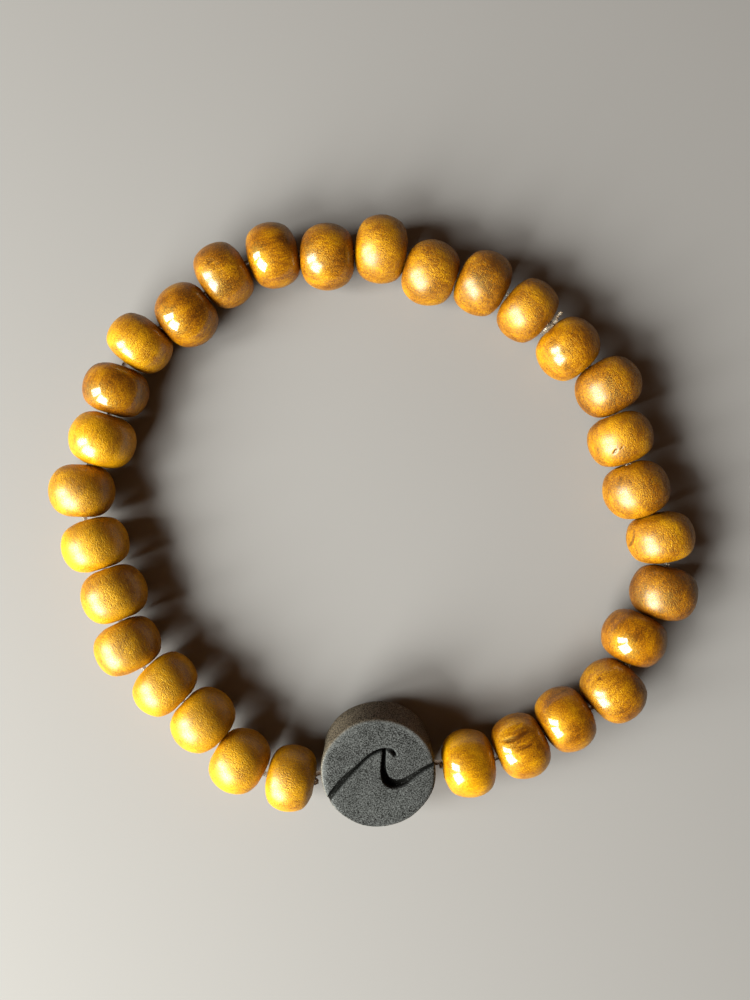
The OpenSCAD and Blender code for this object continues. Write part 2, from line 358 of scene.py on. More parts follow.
# %% [markdown]
# ## The form of a bead
# A turned bead is neither a ball nor a cylinder. Its belly is part of a ball, its ends are shallower
# domes, and a shoulder joins them. Seen along a ray from the middle, the surface is where the nearest
# of those arcs crosses the ray. A power sum in place of the plain minimum rounds the corners between
# the arcs, as sanding does on the real bead.

# %% Section of a bead
SHOULDER_BACK = 0.4
SHOULDER_EASE = 0.05
SANDING = 60


def ray_to_arc(angle, centre, arc_radius):
    """How far a ray from the middle goes until it crosses an arc about a point on the bore: the
    farther root of the quadratic for a line and a circle. The angle is from the bore."""
    forward = centre * np.cos(angle)
    return forward + np.sqrt(forward**2 - centre**2 + arc_radius**2)


def bead_reach(angle, radius, half_length):
    """Distance from a bead's middle to its surface at an angle from the bore: the smallest of the
    distances to its five arcs, with the corners rounded by a power sum. The shoulder's arc passes
    just inside the corner where the belly and the dome would meet."""
    dome_back = DOME_R - half_length
    back = SHOULDER_BACK * dome_back
    corner_x = (DOME_R**2 - radius**2 - dome_back**2) / (2 * dome_back)
    corner_out = math.sqrt(radius**2 - corner_x**2)
    shoulder_r = math.hypot(corner_out, corner_x + back) - SHOULDER_EASE
    arcs = [(0, radius), (back, shoulder_r), (-back, shoulder_r), (dome_back, DOME_R), (-dome_back, DOME_R)]
    reaches = [ray_to_arc(angle, centre, arc_radius) for centre, arc_radius in arcs]
    return sum((reach / radius) ** -SANDING for reach in reaches) ** (-1 / SANDING) * radius


print("at the belly and the shoulder a bead reaches", bead_reach(np.radians([90, 45]), 4.0, 3.4).round(2))

# %% [markdown]
# ## From a section to a closed outline
# The outline could stop at the mouths of the bore, but one sees a little way into them, and the surface
# has to be closed. So it goes on round each mouth's edge and back along the bore to where it began.
# Carried round the bore, it is the whole bead.

# %% Outline of a bead, carried round
MOUTH_ROWS = 4
BORE_ROWS = 6


def bead_profile(radius, half_length, rows):
    """The closed outline of a bead on one side of its bore, as distances (along, out) in mm: over the
    belly from mouth to mouth, round the mouth's edge in a quarter circle, and back along the bore.
    Also how much of the wood's unevenness each point takes: all on the belly, none in the bore."""
    mouth_x = half_length - DOME_R + math.sqrt(DOME_R**2 - MOUTH_R**2)
    start = math.atan2(MOUTH_R, mouth_x)
    angle = np.linspace(start, math.pi - start, rows)
    reach = bead_reach(angle, radius, half_length)
    belly = np.column_stack([reach * np.cos(angle), reach * np.sin(angle)])
    ease = MOUTH_R - BORE_R
    turn = np.linspace(0, math.pi / 2, MOUTH_ROWS + 2)[1:]
    inner_x = belly[-1, 0] + ease
    mouth_edge = np.column_stack([inner_x - ease * np.cos(turn), MOUTH_R - ease * np.sin(turn)])
    inner = np.linspace(inner_x, -inner_x, BORE_ROWS + 2)[1:-1]
    bore = np.column_stack([inner, np.full(BORE_ROWS, BORE_R)])
    profile = np.concatenate([belly, mouth_edge, bore, mouth_edge[::-1] * [-1, 1]])
    share = np.zeros(len(profile))
    share[:rows] = np.sin(np.linspace(0, math.pi, rows)) ** 0.5
    return profile, share


def turned(profile, around):
    """Carries the outline round the bore: point (i, j) is outline point i turned by angle j."""
    angle = np.linspace(0, 2 * math.pi, around, endpoint=False)
    out = profile[:, 1, None]
    along = np.repeat(profile[:, :1], around, axis=1)
    return np.stack([along, out * np.cos(angle), out * np.sin(angle)], axis=-1)


print("an outline with 62 points on the belly has", len(bead_profile(4.0, 3.4, 62)[0]), "in all")

# %% [markdown]
# ## Uneven wood
# No two beads are alike. The lathe leaves each one a little out of round, and the grain swells under
# the lacquer. A sum of long sine waves that run in random directions makes that relief: it is smooth,
# has no seam anywhere on a bead, and a seed makes it the same each time.

# %% Relief
WAVE_COUNT = 14


def waves(points, seed, wavelength):
    """Smooth random relief of spread about 1: the sum of sine waves of one wavelength, whose
    directions and phases are drawn from a seeded generator. Points and wavelength are in mm."""
    random = np.random.default_rng(seed)
    directions = random.normal(size=(WAVE_COUNT, 3))
    directions *= 2 * math.pi / wavelength / np.linalg.norm(directions, axis=1, keepdims=True)
    phases = random.uniform(0, 2 * math.pi, WAVE_COUNT)
    return np.sin(points @ directions.T + phases).sum(axis=-1) * math.sqrt(2 / WAVE_COUNT)


print("over one solid the relief spreads by", round(float(waves(node_points(BEADS[0]), 1, 3.0).std()), 2))

# %% [markdown]
# ## Marks of wear
# Some beads carry marks of their own: a patch where the lacquer was scraped off, pits, dents, fine
# scratches. Each is an oval that is set by its place as seen from above, so a short table holds them
# all. The same oval presses the surface in and tints the lacquer.

# %% Table of marks
# Columns: the bead's number, place east and north of its middle, length, width (mm), turn (degrees
# from east), depth (mm), and shade: 1 bares dark wood, -1 leaves a pale scratch
MARKS = [
    (2, -0.9, 2.1, 3.6, 2.4, 24, 0.06, 0.30),
    (2, -1.1, 2.9, 2.4, 0.34, 26, 0.05, -0.30),
    (2, -0.3, 2.5, 1.3, 0.34, 22, 0.08, 0.75),
    (2, -1.7, 1.8, 2.3, 0.50, 24, 0.08, 0.75),
    (2, -0.4, 1.5, 2.2, 0.30, 25, 0.03, -0.30),
    (2, -0.1, 1.1, 2.1, 0.34, 24, 0.07, 0.55),
    (4, -2.4, 2.0, 0.45, 0.30, 30, 0.05, 0.80),
    (6, -2.3, 0.1, 0.9, 0.16, 80, 0.02, 0.50),
    (6, -2.0, -0.2, 0.8, 0.14, 75, 0.02, 0.45),
    (7, -3.8, -0.3, 2.6, 0.16, 83, 0.03, 0.55),
    (9, -1.6, -1.8, 0.60, 0.34, 70, 0.10, 0.95),
    (9, -0.9, -1.3, 0.55, 0.16, 60, 0.07, 0.60),
    (13, -0.6, 0.8, 3.4, 2.6, 20, 0.01, 0.20),
    (14, 1.6, -1.2, 2.2, 0.13, 4, 0.02, -0.5),
    (14, 1.8, -1.9, 2.0, 0.13, -3, 0.02, -0.5),
    (16, 1.1, -2.5, 1.6, 1.2, 30, 0.03, 0.15),
    (18, -0.3, 0.1, 0.9, 0.7, 50, 0.06, -0.15),
    (18, -1.0, 0.6, 0.8, 0.6, 40, 0.06, 0.20),
    (18, 0.4, -0.8, 0.8, 0.4, 60, 0.05, 0.20),
    (20, 1.9, -2.1, 2.4, 1.2, -30, 0.02, 0.30),
    (26, 1.0, 0.3, 1.3, 0.12, 65, 0.02, -0.5),
    (26, 1.4, -0.2, 1.1, 0.12, 55, 0.02, -0.5),
]


def mark_weight(offsets, mark):
    """How much of a mark each point takes, from 0 to 1: a bell over an oval, seen from above, and
    nothing on the lower half of the bead. Offsets are from the bead's middle."""
    _, east, north, long, wide, turn, _, _ = mark
    c, s = math.cos(math.radians(turn)), math.sin(math.radians(turn))
    x, y = offsets[..., 0] - east, offsets[..., 1] - north
    inside = ((x * c + y * s) / (long / 2)) ** 2 + ((y * c - x * s) / (wide / 2)) ** 2
    return np.exp(-(inside**2)) * (offsets[..., 2] > 0)


print(len(MARKS), "marks on", len({mark[0] for mark in MARKS}), "beads")

# %% [markdown]
# ## Short words for patterns
# Most of a material is arithmetic on patterns. Each of these short words adds one node and gives its
# output, so a formula reads nearly as it would on paper.

# %% Helpers for patterns
def attribute(tree, name, output="Fac"):
    """The output of an Attribute node, which reads the numbers that were painted on a piece."""
    return add_node(tree, "ShaderNodeAttribute", attribute_name=name).outputs[output]


def calculate(tree, operation, *values):
    """The output of a Math node."""
    node = add_node(tree, "ShaderNodeMath", dict(enumerate(values)), operation=operation)
    return node.outputs[0]


def spread(tree, value, low, high, to_low=0.0, to_high=1.0):
    """Stretches the part of a value between low and high to a new range."""
    inputs = {"Value": value, "From Min": low, "From Max": high, "To Min": to_low, "To Max": to_high}
    return add_node(tree, "ShaderNodeMapRange", inputs).outputs["Result"]


def mix_colours(tree, share, first, second):
    """The output of a Mix node on colours, whose colour sockets are inputs 6 and 7 and output 2."""
    return add_node(tree, "ShaderNodeMix", {0: share, 6: first, 7: second}, data_type="RGBA").outputs[2]


def bumped(tree, height, distance):
    """The normal of a surface that is raised by a height times a distance in mm."""
    relief = {"Height": height, "Distance": distance * MM, "Strength": 1.0}
    return add_node(tree, "ShaderNodeBump", relief).outputs[0]


# %% [markdown]
# ## Stained wood
# The beads are light hardwood, stained amber. The stain soaks in unevenly, which mottles the colour,
# and the pores take more of it and show as short dark flecks along the grain, which runs along the
# bore. A picture of wood wrapped round a bead would show a seam. Noise in space has none, and stretched
# along the bore it gives fibres. All the patterns sit in one node group, for every lacquer to use.

# %% Noise along the grain
def stretched_noise(tree, place, stretch, scale, detail):
    """Noise whose pattern is stretched along the axes of a place: the output is about 0.5 ± 0.2."""
    mapped = add_node(tree, "ShaderNodeMapping", {"Vector": place, "Scale": stretch})
    inputs = {"Vector": mapped.outputs[0], "Scale": scale, "Detail": detail}
    return add_node(tree, "ShaderNodeTexNoise", inputs).outputs[0]


# %% Node group: stained wood
# Columns: stretch along and across the grain, scale per mm, detail
BLOTCHES = ((0.6, 1.0, 1.0), 0.45, 3.0)
FIBRES = ((0.22, 1.0, 1.0), 3.2, 4.0)
FLECKS = ((0.3, 1.0, 1.0), 5.5, 1.0)
GRAINS = ((0.8, 1.0, 1.0), 8.5, 2.0)
NOISE_LOW, NOISE_HIGH = 0.3, 0.7
PORE_FROM, PORE_FULL = 0.60, 0.72
BLOTCH_SOAK, FIBRE_SOAK, GRAIN_SOAK, PORE_SOAK = 0.36, 0.18, 0.37, 0.16
FIBRE_HEIGHT, GRAIN_HEIGHT, PORE_DEPTH = 0.2, 0.7, 0.20


def stained_wood_group():
    """Place is in mm, its x along the grain. Soak is how deep the stain is at a point: the bead's stain,
    which holds painted light too, plus each pattern's share, mostly 0 to 1, but it may pass both. Height is
    the relief of fibres, grains and pores. Pores is 1 in a pore, and Grains is the finest speckle, about
    0.5 ± 0.2."""
    group = bpy.data.node_groups.new("stained wood", "ShaderNodeTree")
    group.interface.new_socket("Place", in_out="INPUT", socket_type="NodeSocketVector")
    for name in ("Stain", "Mark"):
        group.interface.new_socket(name, in_out="INPUT", socket_type="NodeSocketFloat")
    for name in ("Soak", "Height", "Pores", "Grains"):
        group.interface.new_socket(name, in_out="OUTPUT", socket_type="NodeSocketFloat")
    given = add_node(group, "NodeGroupInput")
    place = given.outputs["Place"]
    blotches = stretched_noise(group, place, *BLOTCHES)
    fibres = stretched_noise(group, place, *FIBRES)
    grains = stretched_noise(group, place, *GRAINS)
    pores = spread(group, stretched_noise(group, place, *FLECKS), PORE_FROM, PORE_FULL)
    soak = given.outputs["Stain"]
    for pattern, share in ((blotches, BLOTCH_SOAK), (fibres, FIBRE_SOAK), (grains, GRAIN_SOAK)):
        soak = calculate(group, "ADD", soak, spread(group, pattern, NOISE_LOW, NOISE_HIGH, -share, share))
    soak = calculate(group, "ADD", soak, calculate(group, "MULTIPLY", pores, PORE_SOAK))
    soak = calculate(group, "ADD", soak, given.outputs["Mark"])
    height = calculate(group, "MULTIPLY", fibres, FIBRE_HEIGHT)
    height = calculate(group, "ADD", height, calculate(group, "MULTIPLY", grains, GRAIN_HEIGHT))
    height = calculate(group, "SUBTRACT", height, calculate(group, "MULTIPLY", pores, PORE_DEPTH))
    results = {"Soak": soak, "Height": height, "Pores": pores, "Grains": grains}
    add_node(group, "NodeGroupOutput", results)
    return group


STAINED_WOOD = stained_wood_group()
print("the wood is a group of", len(STAINED_WOOD.nodes), "nodes")

# %% [markdown]
# ## Amber lacquer
# Over the wood lies a clear film, for which a Principled material has a coat with a gloss of its own:
# a glossy bead mirrors the two panes sharply, and on a satin one they run together into a soft patch.
# Seen aslant the film fades, because a full mirror would show the pale floor all round each bead, and
# the real ones stay dark at their rims. One function makes all three lacquers from a few numbers.

# %% Lacquers
# Columns: how deep the stain is, and its colour there: straw, honey, amber and umber
STAIN_COLOURS = (
    (-0.6, (0.80, 0.37, 0.004, 1)),
    (0.0, (0.52, 0.228, 0.001, 1)),
    (0.6, (0.27, 0.084, 0.001, 1)),
    (1.0, (0.10, 0.023, 0.001, 1)),
)
WARM_SHEEN = (1.0, 0.88, 0.16, 1)
WOOD_IOR = 1.68
FILM_IOR = 1.65
THIN_FILM, THICK_FILM = 0.5, 1.15
FILM_GRAIN_LOW, FILM_GRAIN_HIGH = 0.40, 0.60
FADE_FROM, FADE_TO = 0.20, 0.50
FILM_AT_RIM = 0.05


def amber_lacquer(name, roughness, roughness_of_pores, bump, coat, coat_roughness):
    """Stained wood under lacquer: as the soak grows, each colour of the table turns into the next. The
    bump is the height of the relief in mm. The film is speckled by the finest grains."""
    material, tree, surface = new_material(name)
    # The stain read here is partly painted light: paler on the left of the ring, darker on the right.
    painted = {"Stain": attribute(tree, "stain"), "Mark": attribute(tree, "mark")}
    painted["Place"] = attribute(tree, "place", "Vector")
    wood = add_node(tree, "ShaderNodeGroup", painted, node_tree=STAINED_WOOD).outputs
    colour = STAIN_COLOURS[0][1]
    for (low, _), (high, deeper) in zip(STAIN_COLOURS, STAIN_COLOURS[1:]):
        colour = mix_colours(tree, spread(tree, wood["Soak"], low, high), colour, deeper)
    dulled = calculate(tree, "MULTIPLY", wood["Pores"], roughness_of_pores)
    facing = add_node(tree, "ShaderNodeLayerWeight", {"Blend": 0.5}).outputs["Facing"]
    fading = spread(tree, facing, FADE_FROM, FADE_TO, 1.0, FILM_AT_RIM)
    film = (coat * THIN_FILM, coat * THICK_FILM)
    speckled = spread(tree, wood["Grains"], FILM_GRAIN_LOW, FILM_GRAIN_HIGH, *film)
    fill(surface, {
        "Base Color": colour,
        "Roughness": calculate(tree, "ADD", dulled, roughness),
        "Normal": bumped(tree, wood["Height"], bump),
        "Coat Weight": calculate(tree, "MULTIPLY", speckled, fading),
        "Coat Roughness": coat_roughness,
        "Coat IOR": FILM_IOR,
        "IOR": WOOD_IOR,
        "Specular Tint": WARM_SHEEN,
    })
    return material


GLOSSY = amber_lacquer("glossy amber lacquer", 0.40, 0.12, 0.08, 1.0, 0.10)
HALF_GLOSS = amber_lacquer("half gloss amber lacquer", 0.42, 0.12, 0.13, 1.0, 0.21)
SATIN = amber_lacquer("satin amber lacquer", 0.44, 0.10, 0.16, 0.9, 0.36)
print("lacquers:", GLOSSY.name, "-", HALF_GLOSS.name, "-", SATIN.name)

# %% [markdown]
# ## Thirty beads
# Stain and finish differ from bead to bead, so a short table gives both for every bead. Random values
# would be less work, but no bead would then match its own in the picture. The stains are partly the
# beads' own and partly painted light: they also make up for how the light falls round the ring, which
# leaves them paler on the left and darker on the right and at the top. Each bead is its outline
# carried round the bore, made uneven, marked, and set where its solid is.

# %% Table of finishes
# Stain and lacquer of each bead in turn. At 0 the stain is honey, at 0.6 amber, and below 0 it is paler
# The stains are partly painted light: mostly paler on the left of the ring, darker on the right and at the
# top.
FINISHES_AND_LIGHT = [
    (0.15, GLOSSY), (0.35, GLOSSY), (0.50, GLOSSY), (0.55, HALF_GLOSS), (0.65, GLOSSY), (0.85, SATIN),
    (0.40, SATIN), (0.50, SATIN), (0.45, SATIN), (0.70, SATIN), (0.45, HALF_GLOSS), (0.50, SATIN),
    (0.65, SATIN), (0.50, SATIN), (0.45, SATIN), (0.60, HALF_GLOSS), (0.55, GLOSSY), (0.60, HALF_GLOSS),
    (0.60, GLOSSY), (0.25, HALF_GLOSS), (0.70, GLOSSY), (0.05, HALF_GLOSS), (0.30, SATIN), (-0.10, SATIN),
    (0.15, SATIN), (0.25, SATIN), (0.00, SATIN), (0.00, SATIN), (0.10, SATIN), (0.10, SATIN),
]
print(sum(lacquer is GLOSSY for _, lacquer in FINISHES_AND_LIGHT), "of", len(FINISHES_AND_LIGHT), "beads are glossy")

# %% [markdown]
# The grid of a bead is fine enough for its outline to look round. The four beads whose fine marks show
# most get a finer one. The pattern of the wood is read at a place that is moved on by 20 mm from bead
# to bead, so no two beads show the same grain.

# %% Beads
OUT_OF_ROUND, ROUND_WAVELENGTH, ROUND_SEED = 0.035, 9.0, 100
SWELL, SWELL_WAVELENGTH, SWELL_SEED = 0.014, 3.0, 200
GRID = (62, 120)
FINE_GRID = (100, 200)
FINELY_MARKED = (2, 7, 9, 14)
GRAIN_STEP = 20.0


def uneven(local, share, number):
    """Moves the points of a bead in or out by two reliefs of its own, one long and one short."""
    relief = OUT_OF_ROUND * waves(local, ROUND_SEED + number, ROUND_WAVELENGTH)
    relief = relief + SWELL * waves(local, SWELL_SEED + number, SWELL_WAVELENGTH)
    outwards = local / np.linalg.norm(local, axis=-1, keepdims=True)
    return local + outwards * (relief * share[:, None])[..., None]


def make_bead(name, number):
    """A turned bead: its uneven points are set along its bore, pressed in at its marks and painted."""
    middle, along, radius, half_length = PLACES[name]
    rows, around = FINE_GRID if number in FINELY_MARKED else GRID
    profile, share = bead_profile(radius, half_length, rows)
    local = uneven(turned(profile, around), share, number)
    side = np.cross(UP, along)
    offsets = local[..., :1] * along + local[..., 1:2] * side + local[..., 2:] * UP
    shade = np.zeros(offsets.shape[:2])
    inwards = np.zeros(offsets.shape[:2])
    for mark in MARKS:
        if mark[0] == number:
            weight = mark_weight(offsets, mark) * (share[:, None] > 0)
            shade += weight * mark[7]
            inwards += weight * mark[6]
    offsets = offsets * (1 - inwards / np.linalg.norm(offsets, axis=-1))[..., None]
    stain, lacquer = FINISHES_AND_LIGHT[number - 1]
    quads = grid_quads(*local.shape[:2])
    piece = make_piece("turned_" + name, middle + offsets, [quads], lacquer, name)
    paint(piece, "place", (local + [GRAIN_STEP * number, 0, 0]).reshape(-1, 3))
    # The stain painted on the bead here holds painted light too.
    paint(piece, "stain", np.full(local.size // 3, stain))
    paint(piece, "mark", shade.ravel())
    return piece


for number, name in enumerate(BEADS, start=1):
    bead = make_bead(name, number)
print("each plain bead has", len(bead.data.polygons) * 2, "triangles")

# %% [markdown]
# ## The clay disc
# The flat bead is fired clay with a fine grit in it. Its edge is rounded by hand, a bore crosses it
# from side to side, and a wave is cut into its upper face. Because the bore makes it a ring too, the
# same kind of grid fits: rays go out from the middle in every direction but the bore's, and end where
# they meet the flat faces or the round wall.

# %% Form of the disc
DISC_R = 7.0
DISC_HALF_T = 3.0
DISC_BORE_R = 1.2
EDGE_ROUNDING = 16
DISC_AROUND = 400
DISC_ROWS = 180
DISC_BORE_ROWS = 14
FINE_STEPS = 4001
NEARLY_ZERO = 1e-9


def to_face_and_wall(direction):
    """Distances from the disc's middle along a direction to the plane of its face and to its wall."""
    to_face = DISC_HALF_T / np.maximum(np.abs(direction[..., 2]), NEARLY_ZERO)
    to_wall = DISC_R / np.maximum(np.hypot(direction[..., 0], direction[..., 1]), NEARLY_ZERO)
    return to_face, to_wall


def disc_reach(direction):
    """Distance from the disc's middle to its surface: the nearer of its flat face and its round wall,
    with the edge between them rounded by a power sum."""
    to_face, to_wall = to_face_and_wall(direction)
    return (to_face**-EDGE_ROUNDING + to_wall**-EDGE_ROUNDING) ** (-1 / EDGE_ROUNDING)


def beyond_edge(direction):
    """0 at the corner between face and wall, negative on the face, positive on the wall: the
    logarithm of how much nearer the wall's surface is than the face's."""
    to_face, to_wall = to_face_and_wall(direction)
    return np.log(to_face / to_wall)


print("the disc is", 2 * DISC_R, "mm across and", 2 * DISC_HALF_T, "mm thick")

# %% [markdown]
# Equal steps of angle would crowd the points on the wall and spread them on the face, where the wave
# needs them. So the rows and columns are spaced by length: each is laid along one line of the surface,
# and the running length of that line is cut into equal parts.

# %% Grid of the disc
def bore_ray(angle, around):
    """Unit vectors at an angle from the bore, x, and turned round it."""
    x, y, z = np.cos(angle), np.sin(angle) * np.cos(around), np.sin(angle) * np.sin(around)
    return np.stack(np.broadcast_arrays(x, y, z), axis=-1)


def running_length(line):
    """Length of a line from its start to each of its points: the sum of the steps so far."""
    return np.concatenate([[0], np.cumsum(np.linalg.norm(np.diff(line, axis=0), axis=1))])


def even_steps(values, directions, count, endpoint):
    """Values spaced so that the line that they draw on the disc is cut into equal lengths: the running
    length of the line is inverted by interpolation."""
    run = running_length(directions * disc_reach(directions)[:, None])
    return np.interp(np.linspace(0, run[-1], count, endpoint=endpoint), run, values)


def disc_grid():
    """Points of the disc about its middle, x along its bore: rows go over the face from mouth to
    mouth, then back along the bore."""
    fine = np.linspace(0, 2 * math.pi, FINE_STEPS)
    around = even_steps(fine, bore_ray(math.pi / 2, fine), DISC_AROUND, False)
    start = math.asin(DISC_BORE_R / DISC_R)
    fine = np.linspace(start, math.pi - start, FINE_STEPS)
    rows = even_steps(fine, bore_ray(fine, math.pi / 2), DISC_ROWS, True)
    rows = (rows - start) / (math.pi - 2 * start)
    mouth_x = np.sqrt(DISC_R**2 - (DISC_BORE_R * np.cos(around)) ** 2)
    first = np.arctan2(DISC_BORE_R, mouth_x)
    rays = bore_ray(first + rows[:, None] * (math.pi - 2 * first), around[None, :])
    outside = rays * disc_reach(rays)[..., None]
    back = np.linspace(-1, 1, DISC_BORE_ROWS + 2)[1:-1, None]
    y, z = DISC_BORE_R * np.cos(around), DISC_BORE_R * np.sin(around)
    bore = np.stack(np.broadcast_arrays(back * outside[0, :, 0], y, z), axis=-1)
    return np.concatenate([outside, bore])


DISC_GRID = disc_grid()
print("the disc's grid has", DISC_GRID.shape[0], "rows of", DISC_GRID.shape[1], "points")

# %% [markdown]
# ## The wave
# The wave is two strokes of a modelling tool. Each is a smooth line through a few points, with the
# width of the cut at each of them. A point of the face sinks by how far it lies inside a stroke, so
# the cut has sloping walls and a round floor, as in soft clay. Cutting with a Boolean would leave
# sharp edges and uneven faces instead.

# %% Strokes of the wave
# Columns: along the bore from the disc's middle, up across the face, width and depth of the cut (mm)
WAVE_RISE = np.array([
    (-6.5, -3.2, 0.60, 0.6), (-5.7, -1.9, 0.75, 0.7), (-4.3, -0.4, 0.75, 0.8), (-3.4, 0.4, 0.60, 0.8),
    (-2.4, 1.2, 0.50, 0.9), (-1.6, 1.9, 0.45, 0.9), (-0.8, 2.5, 0.45, 0.8), (0.0, 2.9, 0.45, 0.9),
    (0.7, 3.1, 0.45, 0.8), (1.4, 3.1, 0.50, 0.4), (1.9, 2.9, 0.50, 0.4), (2.2, 2.4, 0.45, 0.5),
])
WAVE_FALL = np.array([
    (1.0, 3.0, 0.45, 0.9), (0.8, 1.7, 0.50, 0.9), (0.7, 0.9, 0.60, 0.9), (0.7, 0.1, 0.75, 0.9),
    (0.9, -0.7, 0.95, 0.9), (1.4, -1.2, 1.15, 0.9), (2.1, -1.4, 1.15, 0.9), (2.9, -1.3, 1.00, 0.9),
    (3.5, -1.0, 0.85, 0.8), (4.5, -0.4, 0.65, 0.7), (5.4, 0.1, 0.60, 0.7), (6.3, 0.5, 0.55, 0.7),
    (7.4, 0.9, 0.50, 0.6),
])
DEEPEST_CUT = 0.9
CUT_WALL = 0.26
STROKE_STEPS = 6


def smooth_line(points, steps, closed=False):
    """Catmull-Rom curve through points, steps to a span: each span blends its four nearest points."""
    if closed:
        padded = np.concatenate([points[-1:], points, points[:2]])
    else:
        padded = np.concatenate([2 * points[:1] - points[1:2], points, 2 * points[-1:] - points[-2:-1]])
    a, b, c, d = (padded[k : len(padded) - 3 + k, None, :] for k in range(4))
    t = np.linspace(0, 1, steps, endpoint=False)[None, :, None]
    blend = 2 * b + (c - a) * t + (2 * a - 5 * b + 4 * c - d) * t**2 + (3 * b - a - 3 * c + d) * t**3
    line = (blend / 2).reshape(-1, points.shape[1])
    return line if closed else np.concatenate([line, points[-1:]])


def stroke_depth(plan, stroke):
    """Depth of a stroke below each point of a plan, 0 outside it: half the stroke's width less the
    distance to its line, over the run of the wall, eased to a round floor, times the cut's depth."""
    line = smooth_line(stroke, STROKE_STEPS)
    deepest = np.zeros(len(plan))
    for point, step in zip(line[:-1], np.diff(line, axis=0)):
        along = np.clip(((plan - point[:2]) @ step[:2]) / (step[:2] @ step[:2]), 0, 1)
        nearest = point + along[:, None] * step
        inside = nearest[:, 2] / 2 + CUT_WALL / 3 - np.linalg.norm(plan - nearest[:, :2], axis=1)
        share = np.clip(inside / CUT_WALL, 0, 1)
        deepest = np.maximum(deepest, nearest[:, 3] * share * share * (3 - 2 * share))
    return deepest


print("at its crest the wave is cut", stroke_depth(WAVE_FALL[:1, :2], WAVE_FALL)[0], "mm deep")

# %% [markdown]
# ## Pale and dark edges
# The edge of the disc is paler at some bearings and darker at others. Part of the paleness is wear from
# handling, and part is painted light: the rim at the upper right faces away from the panes and is painted
# pale so that it reads as lit. A mask by curvature would make the edge even all round. So a short table
# says how pale or how dark the edge is at each bearing, and a bell across the edge keeps it there.

# %% Wear and painted light on the edge
# Columns: degrees round the disc from the bore's far end, and how pale, or how dark, the edge is painted
EDGE_WEAR_AND_LIGHT = np.array([
    (0, -0.3), (15, 1.0), (35, 3.0), (60, 2.0), (90, 0.8), (130, 0.5), (160, 1.2), (195, 1.7),
    (215, 1.0), (228, -0.5), (250, -0.5), (270, 0.2), (320, 0.1), (345, -0.4), (360, -0.3),
])
EDGE_BELL_MIDDLE = 0.03
EDGE_BELL_WIDTH = 0.09


def edge_wear_and_light(direction):
    """Paleness of the disc's edges, from wear and from painted light: a bell across the edge, times the
    table's value at that bearing.
    """
    bearing = np.degrees(np.arctan2(direction[..., 1], direction[..., 0])) % 360
    bell = np.exp(-(((beyond_edge(direction) - EDGE_BELL_MIDDLE) / EDGE_BELL_WIDTH) ** 2))
    return bell * np.interp(bearing, EDGE_WEAR_AND_LIGHT[:, 0], EDGE_WEAR_AND_LIGHT[:, 1])


print("the edge is palest at", EDGE_WEAR_AND_LIGHT[EDGE_WEAR_AND_LIGHT[:, 1].argmax(), 0], "degrees from the bore")

# %% [markdown]
# ## Grey clay
# Fired clay is matt, grey and sandy. Up close, single grains stick out, and a few are painted pale as
# glints.
# A cell pattern gives the grains, a fine noise the grit between them, and a slow noise the smears of
# handling. Added up, they are one value, which the painted numbers darken in the cut and lighten at
# the edge, partly for wear and partly as painted light. Only then does it become a colour. On the round
# wall it is browner and brighter: painted warm bounce light.

# %% Clay
SLATE = (0.90, 0.92, 1.0, 1)
WALL_BOUNCE_TINT = (1.0, 0.80, 0.62, 1)
BLACK = (0.0, 0.0, 0.0, 1)
GRAIN_CELLS, GRIT_SCALE, SMEAR_SCALE = 9500.0, 7000.0, 330.0
SMEAR_VALUE, GRAIN_VALUE, WORN_AND_LIT_VALUE = 0.011, 0.006, 0.045
GRIT_DARK, GRIT_PALE = -0.006, 0.108
AT_CUT_EDGE, IN_CUT = 0.85, 0.02
WALL_BOUNCE_GAIN = 2.0
GLINT_VALUE, GLINT_ON_EDGE = 0.05, 0.14
CLAY_BUMP, GRAIN_RISE = 0.04, 0.6
CLAY_ROUGHNESS, CLAY_SPECULAR = 0.8, 0.15


